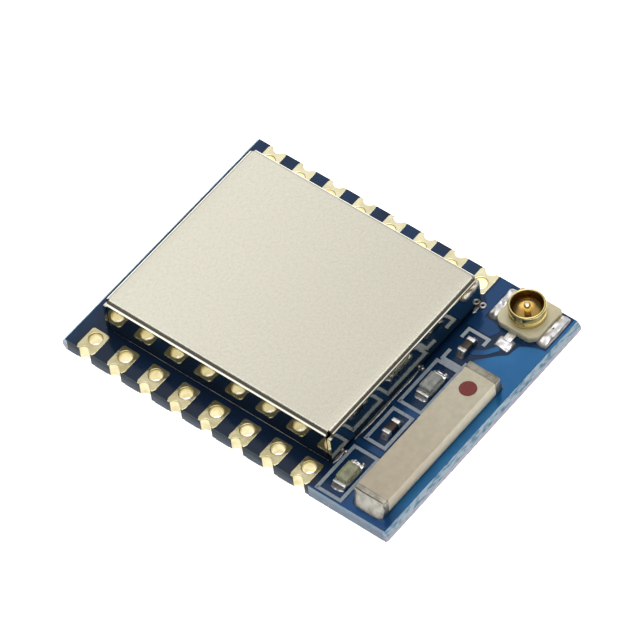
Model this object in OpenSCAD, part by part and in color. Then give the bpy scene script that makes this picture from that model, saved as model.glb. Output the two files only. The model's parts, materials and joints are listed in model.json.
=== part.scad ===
// Surface-mount radio module: a small board with two rows of castellated pads,
// a folded shield can over the radio circuit, a ceramic chip antenna and a
// miniature coaxial socket. Millimetres, +Z up, origin under the board's centre.

/* [Circuit board] */
// Length of the board over its snapped-off ends
board_l = 21.2; // [20.8:0.1:24]
// Width of the board from one pad row's edge to the other's
board_w = 16; // [15.6:0.1:18]
// Thickness of the laminate with its solder mask
board_t = 0.9; // [0.7:0.05:1.6]
// Depth of the vee score cut in each face at the two ends
score_depth = 0.28; // [0.1:0.02:0.32]
// How far the snapped web stands out past the scored faces
score_reach = 0.2; // [0.05:0.05:0.3]

/* [Castellated pads] */
// Distance from one pad to the next along a row
pad_pitch = 2; // [1.6:0.1:2.1]
// Distance from the board's left end to the first pad's centre
first_pad = 1.5; // [1:0.1:2]
// Least distance from the last pad's centre to the board's right end
last_pad = 5.1; // [5:0.1:8]
// Width of a pad's land
land_w = 1.15; // [0.9:0.05:1.4]
// Length of a pad's land, from the board's edge inward
land_l = 1.45; // [1.4:0.05:1.65]
// Corner cut at the inner end of a land
land_corner = 0.15; // [0.05:0.05:0.3]
// Thickness of a land's copper and gold
land_t = 0.05; // [0.03:0.01:0.08]
// How far a land stands above the mask on the top face
land_proud = 0.02; // [0.01:0.01:0.03]
// Bore of the plated through-hole in each pad
hole_d = 0.74; // [0.5:0.02:0.84]
// Distance from the board's edge to the through-hole's centre
hole_inset = 0.9; // [0.85:0.05:1]
// Bore of the plated half-hole at the board's edge
notch_d = 0.6; // [0.4:0.05:0.7]
// Thickness of the plating in both holes
plating = 0.05; // [0.02:0.01:0.06]

/* [Shield can] */
// Distance from the board's left end to the can
can_from_left = 1.5; // [1.2:0.05:1.7]
// Distance from the can to the board's right end
can_from_right = 4.9; // [4.4:0.05:5.2]
// Gap between the can and the front row's lands
can_front_gap = 0.35; // [0.2:0.05:0.6]
// Gap between the can and the back row's lands
can_back_gap = 0.45; // [0.2:0.05:0.7]
// Height of the can above the board
can_h = 2.3; // [2.1:0.1:3.5]
// Thickness of the can's sheet metal
can_sheet = 0.2; // [0.1:0.05:0.25]
// Outside radius of the bends round the can's top
can_bend_r = 0.28; // [0.26:0.02:0.6]
// Gap at the seam where two walls meet
can_seam = 0.06; // [0.02:0.02:0.12]
// Height of the relief opened at each top corner, under the bends
can_relief = 0.15; // [0.05:0.05:0.3]
// Height of the slots under the right wall
slot_h = 0.25; // [0.1:0.05:0.6]
// Width of the short slot near the front corner
short_slot_w = 0.85; // [0.4:0.05:1.2]
// Distance from the can's front face to the short slot
short_slot_from = 0.95; // [0.6:0.05:1.5]
// Width of the long slot that the antenna trace passes under
feed_slot_w = 4.3; // [2:0.1:5]
// Distance from the can's back face to the long slot
feed_slot_from = 0.55; // [0.4:0.05:1.5]
// Size of the solder fillet at the foot of the can
can_fillet = 0.14; // [0.05:0.01:0.2]

/* [Chip antenna] */
// Length of the ceramic block across the board
antenna_l = 9.5; // [8:0.1:10]
// Width of the ceramic block
antenna_w = 1.9; // [1.3:0.1:2.1]
// Height of the ceramic block
antenna_h = 1; // [0.6:0.05:1.6]
// Distance from the board's right end to the block
antenna_from_right = 0.73; // [0.6:0.01:0.9]
// Distance from the board's front edge to the block
antenna_from_front = 0.76; // [0.6:0.02:1]
// Length of the metallised band on each end
antenna_band = 0.32; // [0.15:0.01:0.6]
// Thickness of the metallised band
antenna_plate = 0.03; // [0.02:0.01:0.05]
// Bevel along the block's long top edges
antenna_bevel = 0.06; // [0.02:0.02:0.16]
// Reach of the solder fillet at each end of the block
antenna_fillet = 0.38; // [0.2:0.02:0.5]

/* [Coaxial socket] */
// Size of the socket's moulded base along the board
socket_base_x = 2.6; // [2.4:0.1:2.8]
// Size of the socket's moulded base across the board
socket_base_y = 2.5; // [2.4:0.1:2.54]
// Thickness of the moulded base
socket_base_t = 0.38; // [0.36:0.02:0.6]
// Corner cut of the moulded base
socket_corner = 0.35; // [0.2:0.05:0.45]
// Distance from the board's right end to the moulded base
socket_from_right = 1.05; // [0.95:0.05:1.15]
// Distance from the board's back edge to the moulded base
socket_from_back = 0.05; // [0:0.01:0.2]
// Outside diameter of the socket's contact ring
ring_d = 2; // [1.8:0.02:2.1]
// Wall of the contact ring
ring_wall = 0.16; // [0.12:0.01:0.2]
// Height of the contact ring's rim above the board
ring_top = 1.25; // [1.1:0.05:1.6]
// Depth of the snap groove round the ring
ring_groove = 0.06; // [0.02:0.01:0.08]
// Height of the snap groove
ring_groove_h = 0.16; // [0.16:0.02:0.24]
// Width of the ring's two legs, which pass down through the base
ring_leg_w = 0.6; // [0.3:0.05:0.65]
// Diameter of the centre pin
pin_d = 0.36; // [0.3:0.02:0.46]
// Height of the centre pin's tip above the board
pin_top = 1.2; // [0.8:0.05:1.25]
// Thickness of the flat tails under the base
tail_t = 0.12; // [0.08:0.01:0.15]
// Reach of the ground tails past the base
ground_reach = 0.25; // [0.1:0.05:0.35]
// Width of the ground tails
ground_w = 1.8; // [1:0.1:1.8]
// Reach of the signal tail past the base
signal_reach = 0.6; // [0.4:0.05:0.8]
// Width of the signal tail
signal_w = 0.5; // [0.3:0.05:0.6]
// Height of the solder that holds the three tails
tail_solder_t = 0.08; // [0.04:0.01:0.08]
// Reach of the ground solder past the base
ground_solder_reach = 0.55; // [0.4:0.05:0.65]
// Width of the ground solder
ground_solder_w = 2.2; // [1.9:0.1:2.3]
// Clear strip between the base and the signal solder
signal_solder_gap = 0.35; // [0.2:0.05:0.38]
// Length of the signal solder
signal_solder_l = 0.8; // [0.6:0.05:1]
// Width of the signal solder
signal_solder_w = 0.95; // [0.7:0.05:1.1]

/* [Indicator lamps] */
// Length of a lamp over its terminals
lamp_l = 1.6; // [1.4:0.05:2]
// Width of a lamp
lamp_w = 0.8; // [0.6:0.05:0.9]
// Thickness of a lamp's base
lamp_base_t = 0.2; // [0.15:0.05:0.3]
// Height of the clear lens on the base
lamp_lens_h = 0.3; // [0.2:0.05:0.5]
// Length of the lens at its foot
lamp_lens_l = 1.16; // [0.9:0.02:1.2]
// Draft of each end of the lens over its height
lamp_draft = 0.06; // [0.02:0.02:0.12]
// Length of each terminal along a lamp
lamp_terminal = 0.2; // [0.1:0.02:0.22]
// Distance from the board's front edge to the power lamp's centre
power_lamp_from_front = 1.65; // [1.5:0.05:1.9]
// Shift of the signal lamp from its even place between the lamp and the capacitor
signal_lamp_shift = 0.3; // [-0.2:0.05:0.5]

/* [Small chips] */
// Length of a small chip part over its end caps
chip_l = 1; // [0.8:0.05:1.2]
// Width of a small chip part
chip_w = 0.5; // [0.4:0.05:0.7]
// Height of a small chip part
chip_h = 0.35; // [0.25:0.05:0.5]
// Length of each end cap
chip_cap = 0.24; // [0.1:0.02:0.3]
// Thickness of the end cap's metal
chip_plate = 0.02; // [0.01:0.01:0.04]
// Shift of the series resistor from its even place between the lamp and the capacitor
resistor_shift = 0.25; // [-0.2:0.05:0.5]
// Distance from the board's back edge to the coupling capacitor's centre
capacitor_from_back = 4.6; // [4.2:0.05:4.8]
// Reach of the solder fillets on the small parts
small_fillet = 0.25; // [0.1:0.05:0.3]

/* [Chips under the can] */
// Side of the radio chip's square body
radio_side = 5; // [4:0.1:5.2]
// Height of the radio chip
radio_h = 0.85; // [0.6:0.05:1.2]
// Thickness of the radio chip's lead frame
radio_frame_t = 0.2; // [0.1:0.05:0.3]
// Contacts along each side of the radio chip
radio_contacts = 8; // [4:1:8]
// Spacing of the radio chip's contacts
radio_pitch = 0.5; // [0.35:0.05:0.55]
// Length of a radio chip contact
radio_contact_l = 0.4; // [0.25:0.05:0.5]
// Width of a radio chip contact
radio_contact_w = 0.24; // [0.15:0.01:0.28]
// Side of the heat pad under the radio chip
radio_heat_pad = 3.3; // [2:0.1:3.4]
// Length of the memory chip's body across the board
memory_l = 4.9; // [4:0.1:5.2]
// Width of the memory chip's body along the board
memory_w = 3.9; // [3.4:0.1:4]
// Thickness of the memory chip's body
memory_h = 1.4; // [1:0.05:1.6]
// Gap under the memory chip's body
memory_standoff = 0.15; // [0.1:0.05:0.2]
// Draft of the memory chip's moulding, each side of its lead plane
memory_draft = 0.08; // [0.04:0.02:0.16]
// Reach of the memory chip's leads past its body
memory_lead_reach = 1.05; // [0.8:0.05:1.1]
// Distance from the body to the bend where a lead turns down
memory_lead_knee = 0.37; // [0.25:0.02:0.41]
// Distance from the body to the bend where a lead turns out along the board
memory_lead_ankle = 0.58; // [0.45:0.02:0.65]
// Thickness of a memory chip lead
memory_lead_t = 0.2; // [0.12:0.02:0.24]
// Width of a memory chip lead
memory_lead_w = 0.42; // [0.3:0.02:0.5]
// Spacing of the memory chip's leads
memory_pitch = 1.27; // [0.9:0.01:1.3]
// Leads on each side of the memory chip
memory_leads_per_side = 4; // [2:1:4]
// Length of the crystal along the board
crystal_l = 3.2; // [2.5:0.1:3.6]
// Width of the crystal across the board
crystal_w = 2.5; // [2:0.1:2.6]
// Height of the crystal's ceramic base
crystal_base_h = 0.5; // [0.3:0.05:0.7]
// Height of the crystal's metal lid
crystal_lid_h = 0.2; // [0.1:0.05:0.3]
// Margin of the ceramic base round the lid
crystal_margin = 0.15; // [0.05:0.05:0.3]
// Clear distance from a can wall to the nearest chip
inner_gap = 0.3; // [0.2:0.05:0.5]
// Resistors by the front wall, and capacitors by the back wall
row_count = 3; // [1:1:3]
// Capacitors by the front wall, beside the radio chip
radio_row_count = 4; // [1:1:4]
// Capacitors between the radio chip and the crystal
middle_row_count = 2; // [1:1:3]
// Coils by the right wall
coil_count = 3; // [1:1:3]

/* [Hidden] */
$fn = 48;

// Solids that are subtracted run past their faces by this much
past = 1;

// Share of a solder fillet's size that is left at its hollowed middle
fillet_hollow = 0.35;

// Board edges
left_x = -board_l / 2;
right_x = board_l / 2;
front_y = -board_w / 2;
back_y = board_w / 2;

// Pads at full pitch that fit between the board's left end and the socket
pads_per_row = floor((board_l - first_pad - last_pad) / pad_pitch) + 1;

// Shield can: its four faces, size, centre and inside
can_left_x = left_x + can_from_left;
can_right_x = right_x - can_from_right;
can_front_y = front_y + land_l + can_front_gap;
can_back_y = back_y - land_l - can_back_gap;
can_l = can_right_x - can_left_x;
can_w = can_back_y - can_front_y;
can_x = (can_left_x + can_right_x) / 2;
can_y = (can_front_y + can_back_y) / 2;
inside_x = can_l / 2 - can_sheet;
inside_y = can_w / 2 - can_sheet;

// Antenna, and the column of small parts midway between it and the can
antenna_x = right_x - antenna_from_right - antenna_w / 2;
antenna_y = front_y + antenna_from_front + antenna_l / 2;
column_x = (can_right_x + antenna_x - antenna_w / 2) / 2;

// Places in that column: lamp and capacitor first, the other two spread between them
power_lamp_y = front_y + power_lamp_from_front;
capacitor_y = back_y - capacitor_from_back;
column_step = (capacitor_y - power_lamp_y) / 3;
resistor_y = power_lamp_y + column_step + resistor_shift;
signal_lamp_y = power_lamp_y + 2 * column_step + signal_lamp_shift;

// Coaxial socket
socket_x = right_x - socket_from_right - socket_base_x / 2;
socket_y = back_y - socket_from_back - socket_base_y / 2;
ring_r = ring_d / 2;

// Chips under the can, placed from its walls
memory_span = memory_w + 2 * memory_lead_reach;
memory_x = can_x - inside_x + inner_gap + memory_span / 2;
side_column_x = can_x + inside_x - inner_gap - chip_w / 2;
radio_x = (memory_x + memory_span / 2 + side_column_x - chip_w / 2) / 2;
front_row_y = can_y - inside_y + inner_gap + chip_w / 2;
back_row_y = can_y + inside_y - inner_gap - chip_w / 2;
crystal_y = can_y + inside_y - inner_gap - crystal_w / 2;
radio_y = front_row_y + chip_w / 2 + inner_gap + radio_side / 2;
middle_row_y = (radio_y + radio_side / 2 + crystal_y - crystal_w / 2) / 2;
row_step = chip_l + inner_gap;

// A box centred in X and Y, standing on the given height
module block(x, y, z, low = 0) {
    translate([-x / 2, -y / 2, low]) cube([x, y, z]);
}

// ---- Circuit board -------------------------------------------------------

// Side view of the board: full length at mid-thickness, scored back at both faces
module board_profile() {
    half = board_l / 2;
    face = half - score_reach;
    polygon([
        [-face, 0], [face, 0],
        [half, score_depth], [half, board_t - score_depth],
        [face, board_t], [-face, board_t],
        [-half, board_t - score_depth], [-half, score_depth]
    ]);
}

module circuit_board() {
    color("royalblue")
    difference() {
        translate([0, back_y, 0]) rotate([90, 0, 0])
            linear_extrude(board_w) board_profile();
        pad_row(front_y, 0) pad_envelope();
        pad_row(back_y, 1) pad_envelope();
    }
}

// ---- Castellated pads ----------------------------------------------------

// Repeats a pad along one edge; flip turns the row to face the other way
module pad_row(edge_y, flip) {
    for (i = [0 : pads_per_row - 1])
        translate([left_x + first_pad + i * pad_pitch, edge_y, 0])
            mirror([0, flip, 0]) children();
}

// A land seen from above, with the board's edge along y = 0
module land_outline() {
    half = land_w / 2;
    polygon([
        [-half, 0], [half, 0],
        [half, land_l - land_corner], [half - land_corner, land_l],
        [land_corner - half, land_l], [-half, land_l - land_corner]
    ]);
}

// All that a plated pad takes up in the board, its bores filled in
module pad_envelope() {
    linear_extrude(land_t) land_outline();
    translate([0, 0, board_t + land_proud - land_t]) linear_extrude(land_t) land_outline();
    translate([0, hole_inset, 0]) cylinder(d = hole_d + 2 * plating, h = board_t);
    intersection() {
        cylinder(d = notch_d + 2 * plating, h = board_t);
        translate([-notch_d, 0, 0]) cube([2 * notch_d, notch_d, board_t]);
    }
}

module plated_pad() {
    difference() {
        pad_envelope();
        translate([0, hole_inset, -past]) cylinder(d = hole_d, h = board_t + 2 * past);
        translate([0, 0, -past]) cylinder(d = notch_d, h = board_t + 2 * past);
    }
}

module front_pads() {
    color("gold") pad_row(front_y, 0) plated_pad();
}

module back_pads() {
    color("gold") pad_row(back_y, 1) plated_pad();
}

// ---- Shield can ----------------------------------------------------------

// An upright outline with rounded shoulders, standing on y = 0
module shoulders(width, height, radius) {
    translate([-width / 2, 0]) square([width, height - radius]);
    translate([radius - width / 2, 0]) square([width - 2 * radius, height]);
    for (side = [-1, 1])
        translate([side * (width / 2 - radius), height - radius]) circle(radius);
}

// One pair of opposite walls, bent down from the top sheet
module bent_sheet(width, length) {
    translate([length / 2, 0, 0]) rotate([90, 0, -90]) linear_extrude(length)
        difference() {
            shoulders(width, can_h, can_bend_r);
            translate([0, -past])
                shoulders(width - 2 * can_sheet, can_h - can_sheet + past, can_bend_r - can_sheet);
        }
}

// Lower part of a pair of walls, wide enough to close the corner seams
module wall_pair(width, length) {
    wall_h = can_h - can_bend_r - can_relief;
    for (side = [-1, 1])
        translate([0, side * (width - can_sheet) / 2, 0]) block(length, can_sheet, wall_h);
}

module shield_can() {
    color("gainsboro")
    translate([can_x, can_y, board_t])
    difference() {
        union() {
            bent_sheet(can_w, can_l - 2 * can_bend_r);
            rotate([0, 0, 90]) bent_sheet(can_l, can_w - 2 * can_bend_r);
            wall_pair(can_w, can_l - 2 * can_sheet - 2 * can_seam);
            rotate([0, 0, 90]) wall_pair(can_l, can_w);
        }
        translate([can_l / 2 - can_sheet - can_seam, short_slot_from - can_w / 2, -past])
            cube([can_sheet + can_seam + past, short_slot_w, slot_h + past]);
        translate([can_l / 2 - can_sheet - can_seam, can_w / 2 - feed_slot_from - feed_slot_w, -past])
            cube([can_sheet + can_seam + past, feed_slot_w, slot_h + past]);
    }
}

// A hollow-faced fillet along X, in the corner between y = 0 and the board
module fillet(length, size) {
    translate([length / 2, 0, 0]) rotate([90, 0, -90]) linear_extrude(length)
        polygon([
            [0, 0], [-size, 0], [-fillet_hollow * size, fillet_hollow * size], [0, size]
        ]);
}

// The right wall is soldered at its feet only, each side of the slots
module can_solder() {
    short_end = short_slot_from + short_slot_w;
    feed_end = can_w - feed_slot_from - feed_slot_w;
    feet = [[0, short_slot_from], [short_end, feed_end], [can_w - feed_slot_from, can_w]];
    run_x = can_l - 2 * can_sheet - 2 * can_seam;
    color("silver") {
        translate([can_x, can_front_y, board_t]) mirror([0, 1, 0]) fillet(run_x, can_fillet);
        translate([can_x, can_back_y, board_t]) fillet(run_x, can_fillet);
        translate([can_left_x, can_y, board_t]) rotate([0, 0, 90])
            fillet(can_w, can_fillet);
        for (foot = feet)
            translate([can_right_x, can_front_y + (foot[0] + foot[1]) / 2, board_t])
                rotate([0, 0, -90]) fillet(foot[1] - foot[0], can_fillet);
    }
}

// ---- Chip antenna --------------------------------------------------------

module antenna_place() {
    translate([antenna_x, antenna_y, board_t]) children();
}

// End view of the block with its two top edges bevelled, or of the metal plated round it
module antenna_profile(plate) {
    half = antenna_w / 2 + plate;
    low = antenna_plate - plate;
    high = antenna_plate + antenna_h + plate;
    polygon([
        [-half, low], [half, low], [half, high - antenna_bevel],
        [half - antenna_bevel, high], [antenna_bevel - half, high], [-half, high - antenna_bevel]
    ]);
}

module antenna_block() {
    color("wheat")
    antenna_place() translate([0, antenna_l / 2, 0]) rotate([90, 0, 0])
        linear_extrude(antenna_l) antenna_profile(0);
}

module antenna_bands() {
    color("silver")
    antenna_place() for (side = [-1, 1]) difference() {
        translate([0, side * (antenna_l / 2 + antenna_plate - antenna_band / 2), 0])
            rotate([90, 0, 0]) linear_extrude(antenna_band, center = true)
                antenna_profile(antenna_plate);
        translate([0, antenna_l / 2, 0]) rotate([90, 0, 0])
            linear_extrude(antenna_l) antenna_profile(0);
    }
}

module antenna_solder() {
    color("silver")
    antenna_place() {
        translate([0, antenna_l / 2 + antenna_plate, 0]) fillet(antenna_w, antenna_fillet);
        translate([0, -antenna_l / 2 - antenna_plate, 0]) mirror([0, 1, 0])
            fillet(antenna_w, antenna_fillet);
    }
}

// ---- Coaxial socket ------------------------------------------------------

module socket_place() {
    translate([socket_x, socket_y, board_t]) children();
}

// Base seen from above, with its two inner corners cut back
module socket_outline() {
    x = socket_base_x / 2;
    y = socket_base_y / 2;
    polygon([
        [-x, socket_corner - y], [socket_corner - x, -y], [x - socket_corner, -y],
        [x, socket_corner - y], [x, y], [-x, y]
    ]);
}

module socket_base() {
    color("beige")
    socket_place() difference() {
        linear_extrude(socket_base_t) socket_outline();
        ring_solid();
        pin_solid();
    }
}

// Half section of the ring: a wall on the base, a rolled rim and a hollow snap groove
module ring_section() {
    inner = ring_r - ring_wall;
    rim = ring_wall / 2;
    groove_r = ring_groove_h / 2;
    difference() {
        translate([inner, socket_base_t]) square([ring_wall, ring_top - rim - socket_base_t]);
        translate([ring_r + groove_r - ring_groove, (socket_base_t + ring_top) / 2])
            circle(groove_r);
    }
    translate([inner + rim, ring_top - rim]) circle(rim);
}

// Ring with its two legs through the base and ground tails, all one stamped piece
module ring_solid() {
    leg_t = ring_wall - ring_groove;
    inner = ring_r - ring_wall;
    tail_l = socket_base_x / 2 + ground_reach - inner;
    rotate_extrude() ring_section();
    for (side = [-1, 1]) {
        translate([side * (inner + leg_t / 2), 0, 0])
            block(leg_t, ring_leg_w, socket_base_t + ring_wall);
        translate([side * (inner + tail_l / 2), 0, 0]) block(tail_l, ground_w, tail_t);
    }
}

// Round-tipped pin with the flat signal tail under the base
module pin_solid() {
    tail_l = socket_base_y / 2 + signal_reach;
    cylinder(d = pin_d, h = pin_top - pin_d / 2);
    translate([0, 0, pin_top - pin_d / 2]) sphere(d = pin_d);
    translate([0, -tail_l / 2, 0]) block(signal_w, tail_l, tail_t);
}

module socket_ring() {
    color("goldenrod") socket_place() ring_solid();
}

module socket_pin() {
    color("goldenrod") socket_place() pin_solid();
}

// A low pad of solder, flat to the board and round each tail
module socket_solder() {
    color("silver")
    socket_place() difference() {
        union() {
            for (side = [-1, 1])
                translate([side * (socket_base_x + ground_solder_reach) / 2, 0, 0])
                    block(ground_solder_reach, ground_solder_w, tail_solder_t);
            translate([0, -(socket_base_y + signal_solder_l) / 2 - signal_solder_gap, 0])
                block(signal_solder_w, signal_solder_l, tail_solder_t);
        }
        ring_solid();
        pin_solid();
    }
}

// ---- Indicator lamps -----------------------------------------------------

module column_place(y) {
    translate([column_x, y, board_t]) children();
}

module lamp_base() {
    block(lamp_w, lamp_l - 2 * lamp_terminal, lamp_base_t);
}

// Moulded lens, its two ends drafted back
module lamp_lens() {
    foot = lamp_lens_l / 2;
    crown = foot - lamp_draft;
    translate([lamp_w / 2, 0, lamp_base_t]) rotate([90, 0, -90]) linear_extrude(lamp_w)
        polygon([[-foot, 0], [foot, 0], [crown, lamp_lens_h], [-crown, lamp_lens_h]]);
}

// Each end has a half-round groove where the terminal was plated through
module lamp_terminals() {
    for (side = [-1, 1]) difference() {
        translate([0, side * (lamp_l - lamp_terminal) / 2, 0])
            block(lamp_w, lamp_terminal, lamp_base_t);
        translate([0, side * lamp_l / 2, -past])
            cylinder(r = lamp_terminal / 2, h = lamp_base_t + 2 * past);
    }
}

module power_lamp_base() {
    color("ivory") column_place(power_lamp_y) lamp_base();
}

module power_lamp_lens() {
    color("khaki") column_place(power_lamp_y) lamp_lens();
}

module power_lamp_terminals() {
    color("silver") column_place(power_lamp_y) lamp_terminals();
}

module signal_lamp_base() {
    color("ivory") column_place(signal_lamp_y) lamp_base();
}

module signal_lamp_lens() {
    color("lightgray") column_place(signal_lamp_y) lamp_lens();
}

module signal_lamp_terminals() {
    color("silver") column_place(signal_lamp_y) lamp_terminals();
}

// A fillet at each end of a part that lies across the board
module end_fillets(part_l, width, size) {
    translate([0, part_l / 2, 0]) fillet(width, size);
    translate([0, -part_l / 2, 0]) mirror([0, 1, 0]) fillet(width, size);
}

module lamp_solder() {
    color("silver") for (place = [power_lamp_y, signal_lamp_y])
        column_place(place) end_fillets(lamp_l, lamp_w, min(small_fillet, lamp_base_t));
}

// ---- Small chip parts ----------------------------------------------------

// Body of a small chip part, its length along Y
module chip_body() {
    block(chip_w - 2 * chip_plate, chip_l - 2 * chip_plate, chip_h - 2 * chip_plate, chip_plate);
}

module chip_caps() {
    for (side = [-1, 1]) difference() {
        translate([0, side * (chip_l - chip_cap) / 2, 0]) block(chip_w, chip_cap, chip_h);
        chip_body();
    }
}

module series_resistor() {
    color("dimgray") column_place(resistor_y) chip_body();
}

module series_resistor_caps() {
    color("silver") column_place(resistor_y) chip_caps();
}

module coupling_capacitor() {
    color("saddlebrown") column_place(capacitor_y) chip_body();
}

module coupling_capacitor_caps() {
    color("silver") column_place(capacitor_y) chip_caps();
}

module chip_solder() {
    color("silver") for (place = [resistor_y, capacitor_y])
        column_place(place) end_fillets(chip_l, chip_w, small_fillet);
}

// ---- Radio chip ----------------------------------------------------------

module radio_place() {
    translate([radio_x, radio_y, board_t]) children();
}

// Lead-frame contacts round the edge and the heat pad, flush with the underside
module radio_frame() {
    block(radio_heat_pad, radio_heat_pad, radio_frame_t);
    for (turn = [0 : 90 : 270], i = [0 : radio_contacts - 1])
        rotate([0, 0, turn])
            translate([(i - (radio_contacts - 1) / 2) * radio_pitch,
                       (radio_side - radio_contact_l) / 2, 0])
                block(radio_contact_w, radio_contact_l, radio_frame_t);
}

module radio_chip() {
    color("black") radio_place() difference() {
        block(radio_side, radio_side, radio_h);
        radio_frame();
    }
}

module radio_lead_frame() {
    color("silver") radio_place() radio_frame();
}

// ---- Memory chip ---------------------------------------------------------

module memory_place() {
    translate([memory_x, can_y, board_t]) children();
}

// End view of the body: the moulding's two halves draft away from the lead plane
module memory_profile() {
    half = memory_w / 2;
    drawn = half - memory_draft;
    middle = memory_standoff + memory_h / 2;
    top = memory_standoff + memory_h;
    polygon([
        [-drawn, memory_standoff], [drawn, memory_standoff], [half, middle],
        [drawn, top], [-drawn, top], [-half, middle]
    ]);
}

module memory_chip() {
    color("black") memory_place() translate([0, memory_l / 2, 0]) rotate([90, 0, 0])
        linear_extrude(memory_l) memory_profile();
}

// A gull-wing lead: out from the body, down, and out along the board
module gull_lead() {
    out = memory_lead_reach + memory_draft;
    knee = memory_lead_knee + memory_draft;
    ankle = memory_lead_ankle + memory_draft;
    middle = memory_standoff + memory_h / 2;
    t = memory_lead_t;
    translate([0, memory_lead_w / 2, 0]) rotate([90, 0, 0]) linear_extrude(memory_lead_w)
        polygon([
            [0, middle - t / 2], [knee - t / 2, middle - t / 2], [ankle - t / 2, 0], [out, 0],
            [out, t], [ankle + t / 2, t], [knee + t / 2, middle + t / 2], [0, middle + t / 2]
        ]);
}

module memory_leads() {
    color("silver") memory_place() difference() {
        for (turn = [0, 180]) rotate([0, 0, turn])
            for (i = [0 : memory_leads_per_side - 1])
                translate([memory_w / 2 - memory_draft,
                           (i - (memory_leads_per_side - 1) / 2) * memory_pitch, 0])
                    gull_lead();
        translate([0, memory_l / 2, 0]) rotate([90, 0, 0])
            linear_extrude(memory_l) memory_profile();
    }
}

// ---- Crystal -------------------------------------------------------------

module crystal_place() {
    translate([radio_x, crystal_y, board_t]) children();
}

module crystal_base() {
    color("tan") crystal_place() block(crystal_l, crystal_w, crystal_base_h);
}

module crystal_lid() {
    color("silver") crystal_place()
        block(crystal_l - 2 * crystal_margin, crystal_w - 2 * crystal_margin,
              crystal_lid_h, crystal_base_h);
}

// ---- Small parts under the can -------------------------------------------

// A row of chip parts along the board, end to end, centred on x
module chip_row(count, x, y) {
    for (i = [0 : count - 1])
        translate([x + (i - (count - 1) / 2) * row_step, y, board_t])
            rotate([0, 0, 90]) children();
}

module resistor_places() {
    chip_row(row_count, memory_x, front_row_y) children();
}

module capacitor_places() {
    chip_row(row_count, memory_x, back_row_y) children();
    chip_row(radio_row_count, radio_x, front_row_y) children();
    chip_row(middle_row_count, radio_x, middle_row_y) children();
}

module coil_places() {
    for (i = [0 : coil_count - 1])
        translate([side_column_x, radio_y + (i - (coil_count - 1) / 2) * row_step, board_t])
            children();
}

module inner_resistors() {
    color("dimgray") resistor_places() chip_body();
}

module inner_resistor_caps() {
    color("silver") resistor_places() chip_caps();
}

module inner_capacitors() {
    color("saddlebrown") capacitor_places() chip_body();
}

module inner_capacitor_caps() {
    color("silver") capacitor_places() chip_caps();
}

module inner_coils() {
    color("steelblue") coil_places() chip_body();
}

module inner_coil_caps() {
    color("silver") coil_places() chip_caps();
}

circuit_board();
front_pads();
back_pads();
shield_can();
can_solder();
antenna_block();
antenna_bands();
antenna_solder();
socket_base();
socket_ring();
socket_pin();
socket_solder();
power_lamp_base();
power_lamp_lens();
power_lamp_terminals();
signal_lamp_base();
signal_lamp_lens();
signal_lamp_terminals();
lamp_solder();
series_resistor();
series_resistor_caps();
coupling_capacitor();
coupling_capacitor_caps();
chip_solder();
radio_chip();
radio_lead_frame();
memory_chip();
memory_leads();
crystal_base();
crystal_lid();
inner_resistors();
inner_resistor_caps();
inner_capacitors();
inner_capacitor_caps();
inner_coils();
inner_coil_caps();
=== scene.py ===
"""The wifi module, dressed in the order in which it is put together. Lengths are in millimetres."""

import json
import math

import bmesh
import bpy
from mathutils import Matrix, Quaternion, Vector, noise

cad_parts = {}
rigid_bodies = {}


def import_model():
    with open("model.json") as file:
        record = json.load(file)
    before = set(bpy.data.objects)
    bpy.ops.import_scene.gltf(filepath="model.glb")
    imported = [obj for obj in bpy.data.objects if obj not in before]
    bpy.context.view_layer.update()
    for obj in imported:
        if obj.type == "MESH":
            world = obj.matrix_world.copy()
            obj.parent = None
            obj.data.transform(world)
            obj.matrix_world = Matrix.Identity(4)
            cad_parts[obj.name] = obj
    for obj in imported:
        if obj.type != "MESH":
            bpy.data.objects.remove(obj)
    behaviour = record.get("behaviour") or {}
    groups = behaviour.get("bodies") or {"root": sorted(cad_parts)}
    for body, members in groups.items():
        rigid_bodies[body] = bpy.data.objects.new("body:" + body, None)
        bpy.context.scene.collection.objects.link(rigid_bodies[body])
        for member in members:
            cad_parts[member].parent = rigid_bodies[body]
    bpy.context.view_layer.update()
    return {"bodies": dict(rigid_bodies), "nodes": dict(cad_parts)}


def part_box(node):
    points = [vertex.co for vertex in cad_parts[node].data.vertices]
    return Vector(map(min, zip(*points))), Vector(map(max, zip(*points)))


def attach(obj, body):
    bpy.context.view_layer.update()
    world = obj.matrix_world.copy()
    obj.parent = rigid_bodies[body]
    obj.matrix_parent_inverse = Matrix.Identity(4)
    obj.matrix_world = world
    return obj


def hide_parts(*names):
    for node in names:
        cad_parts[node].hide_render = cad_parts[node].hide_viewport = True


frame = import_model()
root = next(iter(frame["bodies"]))

# ---- Camera ----
# A long lens looks down at the board from its front right corner, turned a little on its axis.

scene = bpy.context.scene
camera = bpy.data.objects.new("camera", bpy.data.cameras.new("camera"))
scene.collection.objects.link(camera)
scene.camera = camera
camera.data.lens = 310.8
view_side, view_height, view_turn = (math.radians(a) for a in (44.04, 52.75, -7.18))
view_distance = 0.2819
look_at = Vector((-0.00009, 0.00016, 0.0015))
towards_camera = Vector((math.cos(view_height) * math.sin(view_side),
                         -math.cos(view_height) * math.cos(view_side), math.sin(view_height)))
camera.location = look_at + view_distance * towards_camera
camera.rotation_mode = "QUATERNION"
camera.rotation_quaternion = (towards_camera.to_track_quat("Z", "Y")
                              @ Quaternion((0, 0, 1), view_turn))

# ---- Light table and softbox ----
# The board lies on a white table that glows evenly. A wide softbox hangs high behind it and a
# small bright one straight above; the room is dim, with a pale wall at the height of the table.

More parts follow.
